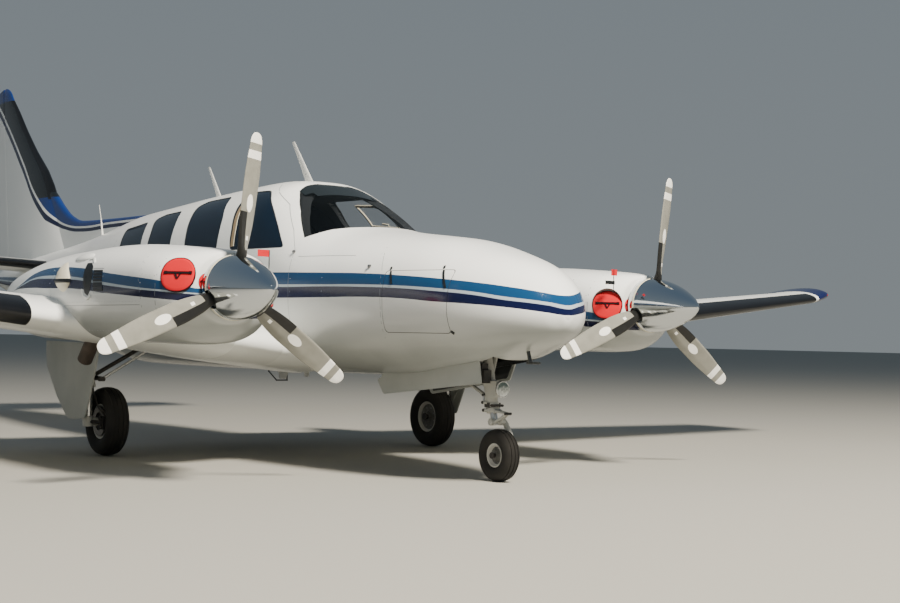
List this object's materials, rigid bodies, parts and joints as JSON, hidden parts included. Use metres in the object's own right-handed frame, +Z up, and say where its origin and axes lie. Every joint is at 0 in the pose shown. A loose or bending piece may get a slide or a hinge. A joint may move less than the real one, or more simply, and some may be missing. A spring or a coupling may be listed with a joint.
{
  "type": "twin piston aircraft",
  "caption": "Low-wing twin piston aircraft on tricycle gear, with turning propellers and wheels, a steered nose wheel, opening doors and moving control surfaces.",
  "frame": {"origin": "on the ground under the middle of the aircraft's length and span", "axes": "+Z up, +X to the aircraft's left, -Y towards its nose"},
  "size_m": [11.97, 10.31, 3.76],
  "materials": {
    "paint": "gloss white paint over aluminium skin",
    "polished": "polished aluminium",
    "blade": "satin grey paint",
    "steel": "satin grey metal",
    "casting": "rough casting",
    "tyre": "matt black rubber",
    "glass": "tinted clear panes",
    "cloth": "beige cloth and carpet",
    "panel": "dark grey shroud",
    "red_cover": "red covered foam"
  },
  "bodies": {
    "airframe": {"nose_shell": "paint", "cabin_shell": "paint", "windshield": "glass", "glazing_right": "glass", "glazing_left": "glass", "tail_cone": "paint", "wing_left": "paint", "wing_right": "paint", "nacelle_left": "paint", "nacelle_right": "paint", "inlet_plug_left": "red_cover", "inlet_plug_right": "red_cover", "cheek_plug_left": "red_cover", "cheek_plug_right": "red_cover", "engine_left": "casting", "engine_right": "casting", "vertical_fin": "paint", "stabiliser_left": "paint", "stabiliser_right": "paint", "main_leg_left": "paint", "main_leg_right": "paint", "main_gear_door_left": "paint", "main_gear_door_right": "paint", "nose_gear_strut": "paint", "landing_light": "polished", "nose_gear_door_left": "paint", "nose_gear_door_right": "paint", "cabin_floor": "cloth", "instrument_panel": "panel", "seats_front": "cloth", "seats_middle": "cloth", "seats_rear": "cloth"},
    "left_propeller": {"propeller_left": "blade", "spinner_left": "polished"},
    "right_propeller": {"propeller_right": "blade", "spinner_right": "polished"},
    "nose_fork": {"nose_gear_fork": "steel"},
    "nose_wheel": {"nose_tyre": "tyre", "nose_rim": "steel"},
    "left_wheel": {"main_left_tyre": "tyre", "main_left_rim": "steel"},
    "right_wheel": {"main_right_tyre": "tyre", "main_right_rim": "steel"},
    "cabin_door": {"cabin_door": "paint", "door_window": "glass"},
    "baggage_door": {"baggage_door": "paint"},
    "rudder": {"rudder": "paint"},
    "left_elevator": {"elevator_left": "paint"},
    "right_elevator": {"elevator_right": "paint"},
    "left_aileron": {"aileron_left": "paint"},
    "right_aileron": {"aileron_right": "paint"},
    "left_inner_flap": {"flap_inner_left": "paint"},
    "right_inner_flap": {"flap_inner_right": "paint"},
    "left_outer_flap": {"flap_outer_left": "paint"},
    "right_outer_flap": {"flap_outer_right": "paint"}
  },
  "joints": [
    {"name": "left_propeller_spin", "type": "hinge", "parent": "airframe", "child": "left_propeller", "pos_m": [1.706, -4.116, 1.181], "axis": [0, -0.9994, -0.0349], "continuous": true},
    {"name": "right_propeller_spin", "type": "hinge", "parent": "airframe", "child": "right_propeller", "pos_m": [-1.706, -4.116, 1.181], "axis": [0, -0.9994, -0.0349], "continuous": true},
    {"name": "nose_steering", "type": "hinge", "parent": "airframe", "child": "nose_fork", "pos_m": [0, -4.4625, 0.33], "axis": [0, 0.2425, 0.9701], "range_deg": [-20, 20]},
    {"name": "nose_wheel_roll", "type": "hinge", "parent": "nose_fork", "child": "nose_wheel", "pos_m": [0, -4.503, 0.168], "axis": [1, 0, 0], "continuous": true},
    {"name": "left_wheel_roll", "type": "hinge", "parent": "airframe", "child": "left_wheel", "pos_m": [1.46, -1.705, 0.25], "axis": [1, 0, 0], "continuous": true},
    {"name": "right_wheel_roll", "type": "hinge", "parent": "airframe", "child": "right_wheel", "pos_m": [-1.46, -1.705, 0.25], "axis": [1, 0, 0], "continuous": true},
    {"name": "cabin_door_hinge", "type": "hinge", "parent": "airframe", "child": "cabin_door", "pos_m": [0.53973, -0.33465, 0.797], "axis": [-0.0588, 0.9983, 0], "range_deg": [0, 115]},
    {"name": "baggage_door_hinge", "type": "hinge", "parent": "airframe", "child": "baggage_door", "pos_m": [-0.45556, -4.47358, 1.338], "axis": [-0.2513, 0.9679, 0], "range_deg": [0, 80]},
    {"name": "rudder_hinge", "type": "hinge", "parent": "airframe", "child": "rudder", "pos_m": [0, 4.41369, 1.65], "axis": [0, 0.1729, 0.9849], "range_deg": [-25, 25]},
    {"name": "left_elevator_hinge", "type": "hinge", "parent": "airframe", "child": "left_elevator", "pos_m": [0.33, 3.59693, 1.57376], "axis": [-0.9962, -0.064, -0.0585], "range_deg": [-25, 15]},
    {"name": "right_elevator_hinge", "type": "hinge", "parent": "airframe", "child": "right_elevator", "pos_m": [-0.33, 3.59693, 1.57376], "axis": [-0.9962, 0.064, 0.0585], "range_deg": [-25, 15]},
    {"name": "left_aileron_hinge", "type": "hinge", "parent": "airframe", "child": "left_aileron", "pos_m": [3.74, -1.33403, 1.17997], "axis": [-0.9922, 0.065, -0.1065], "range_deg": [-20, 20]},
    {"name": "right_aileron_hinge", "type": "hinge", "parent": "airframe", "child": "right_aileron", "pos_m": [-3.74, -1.33403, 1.17997], "axis": [-0.9922, -0.065, 0.1065], "range_deg": [-20, 20]},
    {"name": "left_inner_flap_hinge", "type": "hinge", "parent": "airframe", "child": "left_inner_flap", "pos_m": [0.76, -1.1623, 0.86229], "axis": [-0.9711, 0.2215, -0.0894], "range_deg": [0, 32]},
    {"name": "right_inner_flap_hinge", "type": "hinge", "parent": "airframe", "child": "right_inner_flap", "pos_m": [-0.76, -1.1623, 0.86229], "axis": [-0.9711, -0.2215, 0.0894], "range_deg": [0, 32]},
    {"name": "left_outer_flap_hinge", "type": "hinge", "parent": "airframe", "child": "left_outer_flap", "pos_m": [2.18, -1.26768, 1.01485], "axis": [-0.9936, 0.0417, -0.1051], "range_deg": [0, 32]},
    {"name": "right_outer_flap_hinge", "type": "hinge", "parent": "airframe", "child": "right_outer_flap", "pos_m": [-2.18, -1.26768, 1.01485], "axis": [-0.9936, -0.0417, 0.1051], "range_deg": [0, 32]}
  ],
  "couplings": [
    {"joint": "right_elevator_hinge", "follows": "left_elevator_hinge", "ratio": 1},
    {"joint": "right_aileron_hinge", "follows": "left_aileron_hinge", "ratio": -1},
    {"joint": "left_inner_flap_hinge", "follows": "left_outer_flap_hinge", "ratio": 1},
    {"joint": "right_inner_flap_hinge", "follows": "left_outer_flap_hinge", "ratio": 1},
    {"joint": "right_outer_flap_hinge", "follows": "left_outer_flap_hinge", "ratio": 1}
  ]
}
